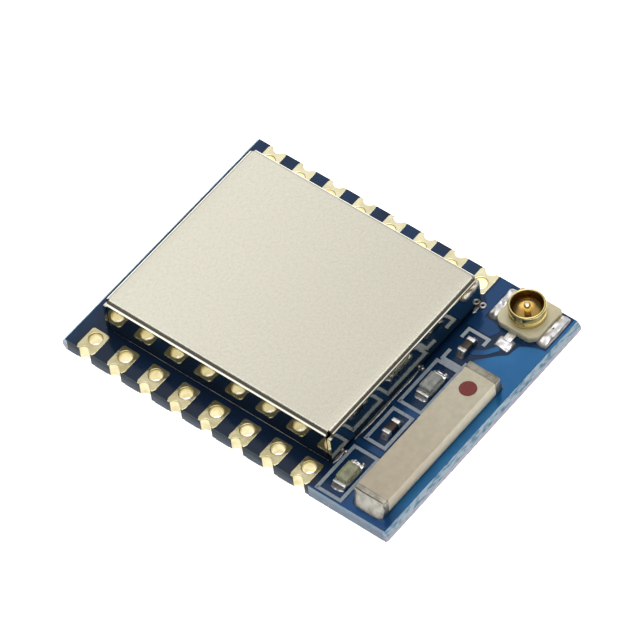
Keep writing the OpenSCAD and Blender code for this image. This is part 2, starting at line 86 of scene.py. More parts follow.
table_glow = 1.15
table_white = (0.8, 0.8, 0.8)
wide_box = (Vector((-0.42, 0.435, 0.58)), 0.78, 0.955, 0.82)
small_box = (Vector((0, 0.06, 1)), 0.90, 0.955, 2.45)
room_glow, wall_glow = 0.12, 0.55
wall_foot, wall_top = 0.10, 0.22
light_warmth = (1.0, 0.99, 0.975, 1)


def feed(place, value):
    """Gives an input either the output of another node or a plain value."""
    if isinstance(value, bpy.types.NodeSocket):
        place.id_data.links.new(value, place)
    else:
        place.default_value = value


def soft_step(tree, value, low, high):
    """0 below low and 1 above high, with a soft step between."""
    step = tree.nodes.new("ShaderNodeMapRange")
    step.interpolation_type = "SMOOTHSTEP"
    feed(step.inputs["From Min"], low)
    feed(step.inputs["From Max"], high)
    feed(step.inputs["Value"], value)
    return step.outputs["Result"]


def worked_out(tree, kind, operation, *values):
    """The outputs of a node that does one operation on the values."""
    node = tree.nodes.new(kind)
    node.operation = operation
    for place, value in zip(node.inputs, values):
        feed(place, value)
    return node.outputs


def maths(tree, operation, *values):
    """The result of one sum."""
    return worked_out(tree, "ShaderNodeMath", operation, *values)[0]


def coordinate(tree, vector, axis):
    """One coordinate of a vector: X, Y or Z."""
    parts = tree.nodes.new("ShaderNodeSeparateXYZ")
    feed(parts.inputs[0], vector)
    return parts.outputs[axis]


def light_room():
    world = bpy.data.worlds.new("room")
    world.use_nodes = True
    scene.world = world
    tree = world.node_tree
    direction = tree.nodes.new("ShaderNodeTexCoord").outputs["Generated"]
    glow = room_glow
    for towards, edge, full, strength in (wide_box, small_box):
        facing = worked_out(tree, "ShaderNodeVectorMath", "DOT_PRODUCT", direction,
                            towards.normalized())["Value"]
        glow = maths(tree, "MULTIPLY_ADD", soft_step(tree, facing, edge, full), strength, glow)
    wall = soft_step(tree, coordinate(tree, direction, "Z"), wall_top, wall_foot)
    background = tree.nodes["Background"]
    feed(background.inputs["Strength"], maths(tree, "MULTIPLY_ADD", wall, wall_glow, glow))
    feed(background.inputs["Color"], light_warmth)


def new_finish(name, colour, roughness, metallic=0.0):
    """A finish with one shader, whose plain values are set; the caller adds its texture."""
    finish = bpy.data.materials.new(name)
    finish.use_nodes = True
    shader = finish.node_tree.nodes["Principled BSDF"]
    feed(shader.inputs["Base Color"], (*colour, 1))
    feed(shader.inputs["Roughness"], roughness)
    feed(shader.inputs["Metallic"], metallic)
    return finish, finish.node_tree, shader


def lay_table():
    bpy.ops.mesh.primitive_circle_add(vertices=96, radius=1.5, fill_type="NGON")
    table = bpy.context.object
    table.name = "light_table"
    glass, _, shader = new_finish("table_glass", table_white, 0.6)
    feed(shader.inputs["Emission Color"], (1, 1, 1, 1))
    feed(shader.inputs["Emission Strength"], table_glow)
    table.data.materials.append(glass)


light_room()
lay_table()
scene.view_settings.view_transform = "Standard"

# ---- Circuit board ----
# A glass-fibre laminate under blue solder mask, routed along its pad rows. Its two ends were
# scored from both faces and snapped, which leaves a rough web standing out between two slopes.

MM = 0.001
PER_MM = 1 / MM


def box_mm(node):
    """Lowest and highest corner of a piece as it was built, in millimetres."""
    low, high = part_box(node)
    return low * PER_MM, high * PER_MM


def place_on_module(tree):
    return tree.nodes.new("ShaderNodeTexCoord").outputs["Object"]


def true_normal(tree):
    return tree.nodes.new("ShaderNodeNewGeometry").outputs["True Normal"]


def speckle(tree, size, detail=3.0, stretch=(1, 1, 1)):
    """Noise whose grains are about size millimetres, drawn out along the axes by stretch."""
    spread = tree.nodes.new("ShaderNodeMapping")
    feed(spread.inputs["Scale"], [PER_MM / (size * s) for s in stretch])
    feed(spread.inputs["Vector"], place_on_module(tree))
    grains = tree.nodes.new("ShaderNodeTexNoise")
    feed(grains.inputs["Scale"], 1.0)
    feed(grains.inputs["Detail"], detail)
    feed(grains.inputs["Vector"], spread.outputs[0])
    return grains.outputs["Fac"]


def blend_colours(tree, amount, first, second, low=0.35, high=0.65):
    """Goes from the first colour to the second as amount goes from low to high."""
    ramp = tree.nodes.new("ShaderNodeValToRGB")
    for stop, place, colour in zip(ramp.color_ramp.elements, (low, high), (first, second)):
        stop.position = place
        stop.color = (*colour, 1)
    feed(ramp.inputs["Fac"], amount)
    return ramp.outputs["Color"]


def drift(tree, axis, start, end):
    """Goes from 0 to 1 along one axis of the module, between two places in millimetres."""
    along = coordinate(tree, place_on_module(tree), axis)
    return soft_step(tree, along, start * MM, end * MM)


def mixed(tree, amount, first, second, blend="MIX"):
    """Mixes two colours, each of them a socket or a plain triple."""
    both = tree.nodes.new("ShaderNodeMix")
    both.data_type, both.blend_type = "RGBA", blend
    feed(both.inputs["Factor"], amount)
    for side, colour in (("A", first), ("B", second)):
        feed(both.inputs[side], (*colour, 1) if isinstance(colour, tuple) else colour)
    return both.outputs["Result"]


def spread_over(tree, amount, low, high):
    """Stretches an amount between 0 and 1 over low to high."""
    over = tree.nodes.new("ShaderNodeMapRange")
    feed(over.inputs["To Min"], low)
    feed(over.inputs["To Max"], high)
    feed(over.inputs["Value"], amount)
    return over.outputs["Result"]


def relief(tree, shader, height, depth):
    """Raises the surface by height times depth millimetres."""
    bump = tree.nodes.new("ShaderNodeBump")
    feed(bump.inputs["Strength"], 1.0)
    feed(bump.inputs["Distance"], depth * MM)
    feed(bump.inputs["Height"], height)
    feed(shader.inputs["Normal"], bump.outputs["Normal"])


def dress(tree, shader, colour, gloss, smooth, rough, pits, depth):
    """Colours a finish, lets one speckle vary its roughness and another raise its surface."""
    feed(shader.inputs["Base Color"], colour)
    feed(shader.inputs["Roughness"], spread_over(tree, speckle(tree, *gloss), smooth, rough))
    relief(tree, shader, speckle(tree, *pits), depth)


def give_finish(finish, *nodes):
    """Gives its finish to pieces that stay as they were built."""
    for node in nodes:
        slots = frame["nodes"][node].data.materials
        slots.clear()
        slots.append(finish)


def joined(parts):
    """One mesh from several closed shells, with every face outward."""
    whole = bmesh.new()
    for part in parts:
        loose = bpy.data.meshes.new("loose")
        part.to_mesh(loose)
        part.free()
        whole.from_mesh(loose)
        bpy.data.meshes.remove(loose)
    bmesh.ops.recalc_face_normals(whole, faces=whole.faces)
    mesh = bpy.data.meshes.new("mesh")
    whole.to_mesh(mesh)
    whole.free()
    return mesh


def fit(name, parts, finish, slot, *nodes):
    """Makes a piece from shells in millimetres, and lets it take the place of built pieces."""
    mesh = joined(parts)
    mesh.transform(Matrix.Scale(MM, 4))
    mesh.polygons.foreach_set("use_smooth", [True] * len(mesh.polygons))
    mesh.set_sharp_from_angle(angle=math.radians(38))
    mesh.materials.append(finish)
    piece = bpy.data.objects.new(name, mesh)
    scene.collection.objects.link(piece)
    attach(piece, root)
    if nodes:
        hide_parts(*nodes)


def shell(rows, turned=False):
    """A closed solid from rows of points. Its end rows are capped or, when turned, joined."""
    bm = bmesh.new()
    sections = [[bm.verts.new(p) for p in row] for row in rows]
    count = len(rows[0])
    for a, b in zip(sections, sections[1:] + (sections[:1] if turned else [])):
        for i in range(count):
            j = (i + 1) % count
            bm.faces.new((a[i], a[j], b[j], b[i]))
    if not turned:
        bm.faces.new(sections[0])
        bm.faces.new(reversed(sections[-1]))
    return bm


def steps(start, end, count):
    """Even steps from start to end, with both ends."""
    return [start + (end - start) * i / count for i in range(count + 1)]


board_low, board_high = box_mm("circuit_board")
board_top = board_high.z
score_depth, score_reach = 0.28, 0.2
web_ragged, slope_ragged, tab_ragged = 0.030, 0.014, 0.022
tab_from, tab_to, burr_x, burr_size = 5.52, 10.45, 6.9, 0.06

mask_navy, mask_blue = (0.003, 0.013, 0.040), (0.004, 0.026, 0.078)
lit_navy, lit_blue = (0.0015, 0.024, 0.078), (0.003, 0.046, 0.145)
lit_drifts = (("X", 5.4, 6.4), ("X", -9.5, -10.3), ("Y", 5.8, 7.4))
edge_grey, edge_teal = (0.095, 0.115, 0.150), (0.003, 0.020, 0.032)
copper_deep, copper_bright = (0.012, 0.150, 0.40), (0.022, 0.205, 0.50)
copper_can_shade, copper_front_shade = (0.006, 0.062, 0.20), (0.008, 0.080, 0.26)
web_lilac, web_white = (0.26, 0.26, 0.33), (0.48, 0.48, 0.56)
slope_teal, slope_pale = (0.11, 0.28, 0.41), (0.50, 0.63, 0.74)
tab_blue, tab_grey = (0.08, 0.135, 0.22), (0.23, 0.28, 0.34)


def mask_finish():
    """Glossy mask on the two faces, and the cut laminate on the routed sides. The faces are painted
    a brighter blue away from the can, as painted light, and a darker navy near it, as painted
    shade.
    """
    finish, tree, shader = new_finish("solder_mask", mask_navy, 0.16)
    cloud = speckle(tree, 1.6)
    # Painted light and shade: away from the can the mask is painted a brighter blue, and near it a
    # darker navy.
    clear = 0.0
    for axis, start, end in lit_drifts:
        clear = maths(tree, "MAXIMUM", clear, drift(tree, axis, start, end))
    faces = mixed(tree, clear, blend_colours(tree, cloud, mask_navy, mask_blue, 0.3, 0.7),
                  blend_colours(tree, cloud, lit_navy, lit_blue, 0.3, 0.7))
    layers = maths(tree, "MULTIPLY_ADD", speckle(tree, 0.12, 4.0, (9, 9, 1)), 0.5, -0.25)
    level = maths(tree, "MULTIPLY_ADD", coordinate(tree, place_on_module(tree), "Z"),
                  PER_MM / board_top, layers)
    sides = blend_colours(tree, level, edge_grey, edge_teal, 0.1, 0.7)
    upright = maths(tree, "ABSOLUTE", coordinate(tree, true_normal(tree), "Z"))
    face = maths(tree, "GREATER_THAN", upright, 0.9)
    feed(shader.inputs["Specular IOR Level"], spread_over(tree, face, 0.06, 0.32))
    dress(tree, shader, mixed(tree, face, sides, faces), (0.25, 3.0), 0.10, 0.22, (0.35, 4.0),
          0.012)
    return finish


def copper_finish():
    """Mask over polished copper: the metal under the film makes it bright. It is painted darker
    along the front and beside the can, as painted shade and the can's painted dark reflection.
    """
    finish, tree, shader = new_finish("mask_over_copper", mask_blue, 0.25, 0.35)
    colour = blend_colours(tree, speckle(tree, 2.2), copper_deep, copper_bright, 0.3, 0.7)
    # Painted shade: darker along the front, in the can's shadow, and beside the can, where its dark
    # reflection is painted in.
    colour = mixed(tree, drift(tree, "Y", -7.8, -5.5), copper_front_shade, colour)
    colour = mixed(tree, drift(tree, "X", 7.3, 8.4), copper_can_shade, colour)
    dress(tree, shader, colour, (0.3, 3.0), 0.12, 0.26, (0.4, 4.0), 0.010)
    return finish


def snapped_finish(name, broken, scored, stretch):
    """Torn glass fibre: pale where the score ran, and dull where it broke."""
    finish, tree, shader = new_finish(name, broken[0], 0.6)
    fibres = speckle(tree, 0.08, 6.0, stretch)
    web = blend_colours(tree, fibres, *broken, 0.3, 0.7)
    slope = blend_colours(tree, speckle(tree, 0.13, 6.0, stretch), *scored, 0.36, 0.56)
    score_z = board_top - score_depth
    above = drift(tree, "Z", score_z - 0.04, score_z + 0.04)
    feed(shader.inputs["Base Color"], mixed(tree, above, web, slope))
    relief(tree, shader, fibres, 0.015)
    return finish


def torn(coarse, fine):
    """How rough a torn edge is at one place, from a coarse and a fine noise."""
    return abs(noise.noise(Vector(coarse))) + 0.5 * abs(noise.noise(Vector(fine)))


def snapped_end(side):
    """One end's rough skin, over the vee of the laminate."""
    face = board_high.x - score_reach
    top, depth, reach = board_top, score_depth, score_reach
    vee = ([(reach * t, depth * t) for t in steps(0, 1, 4)]
           + [(reach, z) for z in steps(depth, top - depth, 5)[1:]]
           + [(reach * (1 - t), top - depth * (1 - t)) for t in steps(0, 1, 5)[1:]])
    rows = []
    for y in steps(board_low.y - 0.012, board_high.y + 0.012, 190):
        row = []
        for out, z in vee:
            ragged = web_ragged if depth - 0.02 < z < top - depth + 0.02 else slope_ragged
            rough = torn((y * 4.5, z * 7, side * 9), (y * 14, z * 20, side * 5))
            row.append((side * (face + out + 0.006 + ragged * rough), y, z))
        row += [(side * (face - 0.1), y, top - 0.04), (side * (face - 0.1), y, 0.04)]
        rows.append(row)
    return shell(rows)


def snapped_tab():
    """The front edge beside the last pad, where a tab was broken off and left a small burr."""
    front, top = board_low.y, board_top - 0.003
    rows = []
    for x in steps(tab_from, tab_to, 90):
        burr = burr_size * math.exp(-((x - burr_x) / 0.12) ** 2)
        row = []
        for z in steps(0.01, top, 8):
            rough = tab_ragged * torn((x * 5, z * 6, 3), (x * 15, z * 15, 8))
            row.append((x, front - 0.004 - rough - burr * math.sin(math.pi * z / board_top), z))
        rows.append(row + [(x, front + 0.03, top), (x, front + 0.03, 0.01)])
    return shell(rows)


give_finish(mask_finish(), "circuit_board")
snapped = snapped_finish("snapped_laminate", (web_lilac, web_white), (slope_teal, slope_pale),
                         (1, 4, 1))
torn_tab = snapped_finish("torn_tab", (tab_blue, tab_grey), (slope_teal, tab_grey), (4, 1, 1))
for side, end_name in ((-1, "snapped_left_end"), (1, "snapped_right_end")):
    fit(end_name, [snapped_end(side)], snapped, "solder_mask")
fit("snapped_tab", [snapped_tab()], torn_tab, "solder_mask")


# The copper that spreads under the mask at the antenna end stands a little proud of the bare
# laminate: the ground plane, the feed track with its clearance, and the white legend over it.

copper_rise, copper_sunk, legend_rise, legend_sunk = 0.015, 0.02, 0.012, 0.01
bridge_w, feed_w, legend_w, shared_w = 0.34, 0.30, 0.19, 0.30
legend_lilac, legend_grey, legend_white = (0.41, 0.47, 0.55), (0.29, 0.36, 0.45), (0.54, 0.59, 0.63)
feed_track = ((6.95, 3.30), (7.35, 3.38), (7.80, 3.72), (8.20, 4.30))
ground_planes = (
    ((5.55, -7.995), (10.395, -7.995), (10.395, 7.99), (10.27, 7.99), (10.27, 5.5), (9.85, 5.42),
     (9.25, 5.18), (8.98, 4.98), (8.84, 4.22), (8.42, 3.86), (7.9, 3.28), (7.62, 3.0),
     (7.62, -7.60), (7.5, -7.9), (5.6, -7.9)),
    ((5.9, 4.62), (7.35, 4.62), (7.55, 5.0), (7.55, 5.35), (6.9, 5.5), (6.36, 5.5), (6.36, 7.98),
     (5.60, 7.98), (5.60, 6.6), (5.9, 6.3)))
bridges = (((5.8, -4.37), (7.7, -4.37)), ((5.8, -1.47), (7.7, -1.47)))
legend_boxes = ((5.95, -7.8, 7.45, -4.74), (6.10, -4.0, 7.30, -1.75), (6.07, -1.2, 7.46, 1.92))
shared_side = ((6.2, 2.06), (7.46, 2.06))
capacitor_marks = (((7.0, 2.2), (6.2, 2.2), (6.2, 2.85)),
                   ((6.2, 3.78), (6.2, 4.43), (7.45, 4.43), (7.45, 3.95)),
                   ((7.0, 2.2), (7.45, 2.2), (7.45, 2.6)))


def flat_plate(outline, low, high, softness=0.01):
    """A thin plate over an outline, with its upper edge eased."""
    points = [Vector(p) for p in outline]
    centre = sum(points, Vector((0, 0))) / len(points)
    return shell([[(*(p + (centre - p).normalized() * inset), z) for p in points]
                  for z, inset in ((low, 0), (high - softness, 0), (high, softness))])


def ribbon(path, width, low, high):
    """A strip of even width along a path, mitred at its corners."""
    points = [Vector(p) for p in path]
    rows = []
    for i, point in enumerate(points):
        before = (point - points[i - 1]).normalized() if i else (points[1] - point).normalized()
        after = (points[i + 1] - point).normalized() if i + 1 < len(points) else before
        along = (before + after).normalized()
        across = Vector((-along.y, along.x)) * (width / 2 / max(0.4, along.dot(before)))
        left, right = point + across, point - across
        rows.append([(*left, low), (*right, low), (*right, high), (*left, high)])
    return shell(rows)


def legend_finish():
    """Thin ink, worn grey in places and whiter by the capacitor."""
    finish, tree, shader = new_finish("legend_ink", legend_lilac, 0.5)
    worn = blend_colours(tree, speckle(tree, 0.15, 5.0), legend_grey, legend_lilac, 0.3, 0.55)
    colour = mixed(tree, drift(tree, "Y", 1.8, 3.2), worn, legend_white)
    feed(shader.inputs["Base Color"], colour)
    relief(tree, shader, speckle(tree, 0.12, 5.0), 0.01)
    return finish


copper_low, copper_top = board_top - copper_sunk, board_top + copper_rise
legend_low, legend_top = copper_top - legend_sunk, copper_top + legend_rise
sheets = [flat_plate(plane, copper_low, copper_top, 0) for plane in ground_planes]
sheets += [ribbon(bridge, bridge_w, copper_low, copper_top) for bridge in bridges]
sheets.append(ribbon(feed_track, feed_w, copper_low, copper_top))
fit("copper_under_mask", sheets, copper_finish(), "solder_mask")
lines = []
for x0, y0, x1, y1 in legend_boxes:
    start = (x0 + 0.001, y0)
    lines.append(ribbon((start, (x1, y0), (x1, y1), (x0, y1), (x0, y0), start), legend_w,
                        legend_low, legend_top))
lines.append(ribbon(shared_side, shared_w, legend_low, legend_top - 0.002))
lines += [ribbon(mark, legend_w, legend_low, legend_top) for mark in capacitor_marks]
fit("legend", lines, legend_finish(), "solder_mask")

# ---- Castellated pads ----
# Copper lands on both faces joined by a plated hole and a plated half hole in the routed edge,
# all under one skin of gold. Eight stand in each row.

first_pad_x, pad_pitch, pads_per_row = -9.1, 2.0, 8
land_w, land_l, land_corner, land_t, land_proud = 1.15, 1.45, 0.15, 0.05, 0.02
hole_r, hole_inset, plating = 0.37, 0.9, 0.05
notch_r, notch_out, cut_r, rolled = 0.36, 0.12, 0.352, 0.012
lip, edge_ease = 0.045, 0.025
pad_lit_pale, pad_gold, pad_shaded_olive = (0.92, 0.85, 0.58), (0.69, 0.63, 0.41), (0.54, 0.465, 0.235)


def arc(cx, cy, r, start, end, count):
    """Points on an arc between two angles in degrees, with both ends."""
    return [(cx + r * math.cos(a), cy + r * math.sin(a))
            for a in steps(math.radians(start), math.radians(end), count)]


def steps_between(a, b, count):
    """The points between two ends, without the ends."""
    return [tuple(Vector(a).lerp(Vector(b), i / count)) for i in range(1, count)]


def notch_arc(radius, count):
    """The half hole, whose centre was left a little outside the routed edge."""
    start = math.degrees(math.asin(notch_out / radius))
    return arc(0, notch_out, radius, 180 + start, 360 - start, count)


def land_outline():
    """The land seen from above with the routed edge at y = 0 and the board behind it."""
    half, deep, c = land_w / 2, -land_l, land_corner
    notch = notch_arc(notch_r + plating / 2, 20)
    return (notch + steps_between(notch[-1], (half, 0), 3)
            + steps_between((half, 0), (half, deep + c), 9)
            + arc(half - c, deep + c, c, 0, -90, 5)
            + steps_between((half - c, deep), (c - half, deep), 8)
            + arc(c - half, deep + c, c, -90, -180, 5)
            + steps_between((-half, deep + c), (-half, 0), 9)
            + steps_between((-half, 0), notch[0], 3))


def pad_spool():
    """Two lands and the barrel of the hole between them, as one turned-over skin."""
    outline = [Vector(p) for p in land_outline()]
    centre = Vector((0, -hole_inset))
    spokes = [(p - centre).normalized() for p in outline]
    top = board_top + land_proud

    def ring(radius, z):
        return [(*(centre + spoke * radius), z) for spoke in spokes]

    def rim(inset, z, nearest=0.05):
        """A loop that lies inset within the outline, but never nearer the hole than its lip."""
        loop = []
        for spoke, p in zip(spokes, outline):
            room = ((p - centre).length - hole_r - lip) * (1 - nearest)
            loop.append((*(p - spoke * min(inset, room)), z))
        return loop

    lower = [ring(hole_r + lip * out, lip * up) for out, up in ((0.13, 0.5), (0.5, 0.13), (1, 0))]
    lower.append(ring(hole_r + lip * 1.2, 0))
    lower += [rim(inset, 0, near) for inset, near in ((0.2, 0.2), (0.042, 0.4), (0.030, 0.5))]
    lower += [rim(0.008, 0.006), rim(0, edge_ease), rim(0, land_t), ring(hole_r + plating, land_t)]
    upper = [[(x, y, top - z) for x, y, z in row] for row in lower]
    barrel = [ring(hole_r, z) for z in steps(lip, top - lip, 4)]
    return shell(barrel + upper + lower[::-1], turned=True)


def notch_plate():
    """The plated wall of the half hole, rolled over at both faces."""
    top = board_top + land_proud
    rows = []
    for wall, rim, cut in zip(notch_arc(notch_r, 24), notch_arc(notch_r + rolled, 24),
                              arc(0, 0, cut_r, 180, 360, 24)):
        rows.append([(*rim, 0.004)] + [(*wall, z) for z in steps(0.02, top - 0.02, 5)]
                    + [(*rim, top - 0.006), (*cut, top - 0.002), (*cut, 0.004)])
    return shell(rows)


def gold_finish():
    """Immersion gold: soft and nearly a mirror, a little rough on the lands."""
    finish, tree, shader = new_finish("pad_gold", pad_gold, 0.2, 1.0)
    cloud = speckle(tree, 0.8)
    # Painted light and shade: the front row of pads is painted darker and olive, the back row
    # paler.
    colour = mixed(tree, drift(tree, "Y", 2.0, 7.0),
                   blend_colours(tree, cloud, pad_gold, pad_shaded_olive, 0.4, 0.7),
                   blend_colours(tree, cloud, pad_lit_pale, pad_gold, 0.4, 0.8))
    dress(tree, shader, colour, (0.2, 4.0), 0.12, 0.28, (0.3, 3.0), 0.012)
    return finish


gold = gold_finish()
for name, side in (("front_pads", -1), ("back_pads", 1)):
    turn = Matrix.Identity(4) if side > 0 else Matrix.Rotation(math.pi, 4, "Z")
    row = []
    for number in range(pads_per_row):
        x = first_pad_x + pad_pitch * number
        for part in (pad_spool(), notch_plate()):
            part.transform(Matrix.Translation((x, side * board_high.y, 0)) @ turn)
            row.append(part)
    fit("gold_" + name, row, gold, "plated_gold", name)

# ---- Shield can ----
# A lid of nickel silver sheet, cut out flat and folded down on four sides. The long sides are
# folded between the short ones, with a nick at each corner; two slots let tracks pass under.

can_low, can_high = box_mm("shield_can")
sheet, bend_r, seam, nick = 0.2, 0.28, 0.06, 0.15
slot_top = can_low.z + 0.25
slots = ((-5.25, -4.40), (1.25, 5.55))
crown = 0.018
shoulder = can_high.z - bend_r
can_silver, can_shade = (0.80, 0.775, 0.665), (0.63, 0.605, 0.51)
wall_rough, lid_smooth, lid_rough = 0.09, 0.22, 0.30
short_wave, long_wave, lid_wave = (3.5, 0.010), (3.0, 0.012), (4.0, 0.006)


def waviness(x, y, z, size, depth):
    """How far a sheet stands out of true, in waves about size millimetres long."""
    return depth * noise.noise(Vector((x, y, z)) / size)


def can_strap():
    """The lid with its two short sides: one section carried from the front bend to the back."""
    middle, half = (can_low + can_high) / 2, (can_high - can_low) / 2
    bend_x = half.x - bend_r

    def section(y, right_foot):
        across = steps(-bend_x, bend_x, 26)
        swell = crown * (1 - ((y - middle.y) / half.y) ** 2)
        outer = [(half.x, z) for z in steps(right_foot, shoulder, 7)[:-1]]
        outer += arc(bend_x, shoulder, bend_r, 0, 90, 9)
        outer += [(-x, can_high.z + swell * (1 - (x / half.x) ** 2)) for x in across[1:-1]]
        outer += arc(-bend_x, shoulder, bend_r, 90, 180, 9)
        outer += [(-half.x, z) for z in steps(shoulder, can_low.z, 7)[1:]]
        inner = [(sheet - half.x, can_low.z)] + arc(-bend_x, shoulder, bend_r - sheet, 180, 90, 4)
        inner += arc(bend_x, shoulder, bend_r - sheet, 90, 0, 4) + [(half.x - sheet, right_foot)]
        points = []
        for x, z in outer + inner:
            x += middle.x
            out = waviness(x, y, z, *short_wave) if z < shoulder else 0
            up = waviness(x, y, 0, *lid_wave) if z > can_high.z - sheet / 2 else 0
            points.append((x + out, y, z + up))
        return points

    marks = steps(can_low.y + bend_r, can_high.y - bend_r, 44)
    for slot in slots:
        marks += [end + beside for end in slot for beside in (-0.015, 0.015)]
    rows = []
    for y in sorted(marks):
        over_slot = any(low < y < high for low, high in slots)
        rows.append(section(y, slot_top if over_slot else can_low.z))
    return shell(rows)


def can_side(side):
    """A long side: it bends down from the lid and stands between the two short sides."""
    end = can_high.y if side > 0 else can_low.y
    profile = arc(bend_r, shoulder, bend_r, 90, 180, 9)
    profile += [(0, z) for z in steps(shoulder, can_low.z, 8)[1:]]
    profile += [(sheet, can_low.z)] + arc(bend_r, shoulder, bend_r - sheet, 180, 90, 4)
    rows = []
    for share in steps(0, 1, 40):
        row = []
        for inward, z in profile:
            margin = bend_r if z > shoulder - nick else sheet + seam
            x = can_low.x + margin + share * (can_high.x - can_low.x - 2 * margin)
            wave = waviness(x, side * 9, z, *long_wave) if z < shoulder else 0
            row.append((x, end - side * (inward + wave), z))
        rows.append(row)
    return shell(rows)


def can_post(x_side, y_side):
    """The upright end of a short side, beside the nick."""
    x = can_high.x if x_side > 0 else can_low.x
    end = can_high.y if y_side > 0 else can_low.y
    top, behind = shoulder - nick, bend_r + 0.001
    rows = []
    for z in steps(can_low.z, top, 6) + [top + 0.012]:
        ease = 0.02 if z > top else 0
        corners = ((0, ease), (0, behind), (sheet, behind), (sheet, ease))
        rows.append([(x - x_side * a, end - y_side * b, z) for a, b in corners])
    return shell(rows)


def can_finish():
    """Cold-rolled sheet: satin on the lid and bright on the folded walls."""
    finish, tree, shader = new_finish("nickel_silver", can_silver, 0.3, 1.0)
    fog = blend_colours(tree, speckle(tree, 0.14, 6.0, (1, 1.3, 1)), (1, 1, 1), (0.9, 0.9, 0.9),
                        0.45, 0.9)
    # Painted shade: the lid's colour darkens from left to right, as the light falls off across it.
    tone = mixed(tree, drift(tree, "X", can_low.x - 2, can_high.x + 3), can_silver, can_shade)
    feed(shader.inputs["Base Color"], mixed(tree, 1.0, tone, fog, "MULTIPLY"))
    on_lid = soft_step(tree, coordinate(tree, true_normal(tree), "Z"), 0.75, 0.98)
    satin = spread_over(tree, speckle(tree, 0.12, 4.0), lid_smooth - wall_rough,
                        lid_rough - wall_rough)
    feed(shader.inputs["Roughness"], maths(tree, "MULTIPLY_ADD", on_lid, satin, wall_rough))
    relief(tree, shader, speckle(tree, 0.25), 0.004)
    return finish


folds = [can_strap(), can_side(-1), can_side(1)]
folds += [can_post(a, b) for a in (-1, 1) for b in (-1, 1)]
fit("folded_can", folds, can_finish(), "can_metal", "shield_can")

# ---- Solder along the can ----
# Hand-touched solder: an uneven fillet along the feet of the walls, two bright beads beside the
# antenna end and a small ring that ran round a hole near the back corner.

fillet, sunk = 0.14, 0.012
bead_places, bead_r, bead_h = ((5.80, -5.27), (5.80, 1.05)), 0.13, 0.10
ring_place, loop_r, wire_r = (5.90, 5.97), 0.14, 0.08
solder_grey, solder_dull = (0.60, 0.595, 0.61), (0.33, 0.325, 0.35)


def wall_fillet(start, end, out, scale=1.0):
    """Concave solder from start to end along a wall whose outward direction is out."""
    start, end, out = Vector(start), Vector(end), Vector(out)
    length = (end - start).length
    along = (end - start) / length
    rows = []
    for d in steps(0, length, max(8, int(length / 0.12))):
        place = start + along * d
        swell = 0.75 + 0.35 * noise.noise(Vector((place.x * 1.7, place.y * 1.7, 4)))
        ends = min(1, 4 * d / length + 0.05, 4 * (length - d) / length + 0.05)
        size = fillet * scale * max(0.15, swell * ends)
        hollow = [(0, size), (0.12 * size, 0.52 * size), (0.4 * size, 0.2 * size), (size, 0.004),
                  (size, -sunk), (-0.03, -sunk), (-0.03, size)]
        rows.append([(*(place + out * a), can_low.z + b) for a, b in hollow])
    return shell(rows)


def full_turn(count):
    """Angles that go once round, without the last, which is the first again."""
    return steps(0, 2 * math.pi, count)[:-1]


def bead(x, y, radius, height, seed):
    """A drop of solder with an uneven outline."""
    rows = []
    for slant in steps(0, math.pi / 2, 7)[:-1]:
        row = []
        for a in full_turn(20):
            uneven = 1 + 0.22 * noise.noise(Vector((math.cos(a), math.sin(a), seed)))
            r = radius * uneven * math.cos(slant) ** 0.7
            z = can_low.z - 0.01 + (height + 0.01) * math.sin(slant)
            row.append((x + r * math.cos(a), y + r * math.sin(a), z))
        rows.append(row)
    return shell(rows)


def lathe(x, y, profile, sides=96):
    """Turns an open profile of (radius, height) round an upright axis; its ends meet."""
    return shell([[(x + r * math.cos(a), y + r * math.sin(a), z) for a in full_turn(sides)]
                  for r, z in profile], turned=True)


def metal_finish(name, light, dark, smooth, rough, grain=0.15, turns=(0.4, 0.8), polish=0.1,
                 pit=0.08, depth=0.012, metallic=1.0):
    """Metal that goes from light to dark in grains, with finer noise in its polish and pits."""
    finish, tree, shader = new_finish(name, light, smooth, metallic)
    tone = blend_colours(tree, speckle(tree, grain, 4.0), light, dark, *turns)
    dress(tree, shader, tone, (polish, 4.0), smooth, rough, (pit, 4.0), depth)
    return finish


solder = metal_finish("solder", solder_grey, solder_dull, 0.22, 0.42, 0.3, (0.45, 0.75),
                      polish=0.2, pit=0.16, depth=0.02)
left, front, right, back = can_low.x, can_low.y, can_high.x, can_high.y
foot = seam + sheet
runs = [wall_fillet((left + foot, front), (right - foot, front), (0, -1), 0.14),
        wall_fillet((right - foot, back), (left + foot, back), (0, 1)),
        wall_fillet((left, back), (left, front), (-1, 0)),
        wall_fillet((right, front), (right, slots[0][0]), (1, 0), 0.75),
        wall_fillet((right, slots[0][1]), (right, slots[1][0]), (1, 0), 0.7),
        wall_fillet((right, slots[1][1]), (right, back), (1, 0))]
runs += [bead(x, y, bead_r, bead_h, seed=y) for x, y in bead_places]
runs.append(lathe(*ring_place, arc(loop_r, can_low.z + 0.05, wire_r, 0, 330, 11), 32))
runs.append(wall_fillet((right, 5.82), (right + 0.02, 5.33), (1, 0.1), 0.9))
fit("can_joints", runs, solder, "solder", "can_solder")

# ---- Chip antenna ----
# A long block of fired ceramic with plated ends and a red dot that marks the feed end. Both
# ends are soldered to lands; the near one has a thick sloping joint.

near_band_l, far_band_l, band_r, band_ragged = 0.35, 0.45, 0.07, 0.05
near_rise, far_rise = 0.98, 0.45
uneven_seed = 3
dot_x, dot_y, dot_r = 8.94, 0.83, 0.475
ceramic_tan, ceramic_cream = (0.72, 0.62, 0.46), (0.84, 0.775, 0.59)
band_silver, band_taupe = (0.36, 0.34, 0.285), (0.17, 0.155, 0.12)
joint_silver, joint_dull = (0.41, 0.395, 0.35), (0.18, 0.168, 0.145)
dot_red, dot_pale = (0.235, 0.014, 0.008), (0.27, 0.026, 0.020)


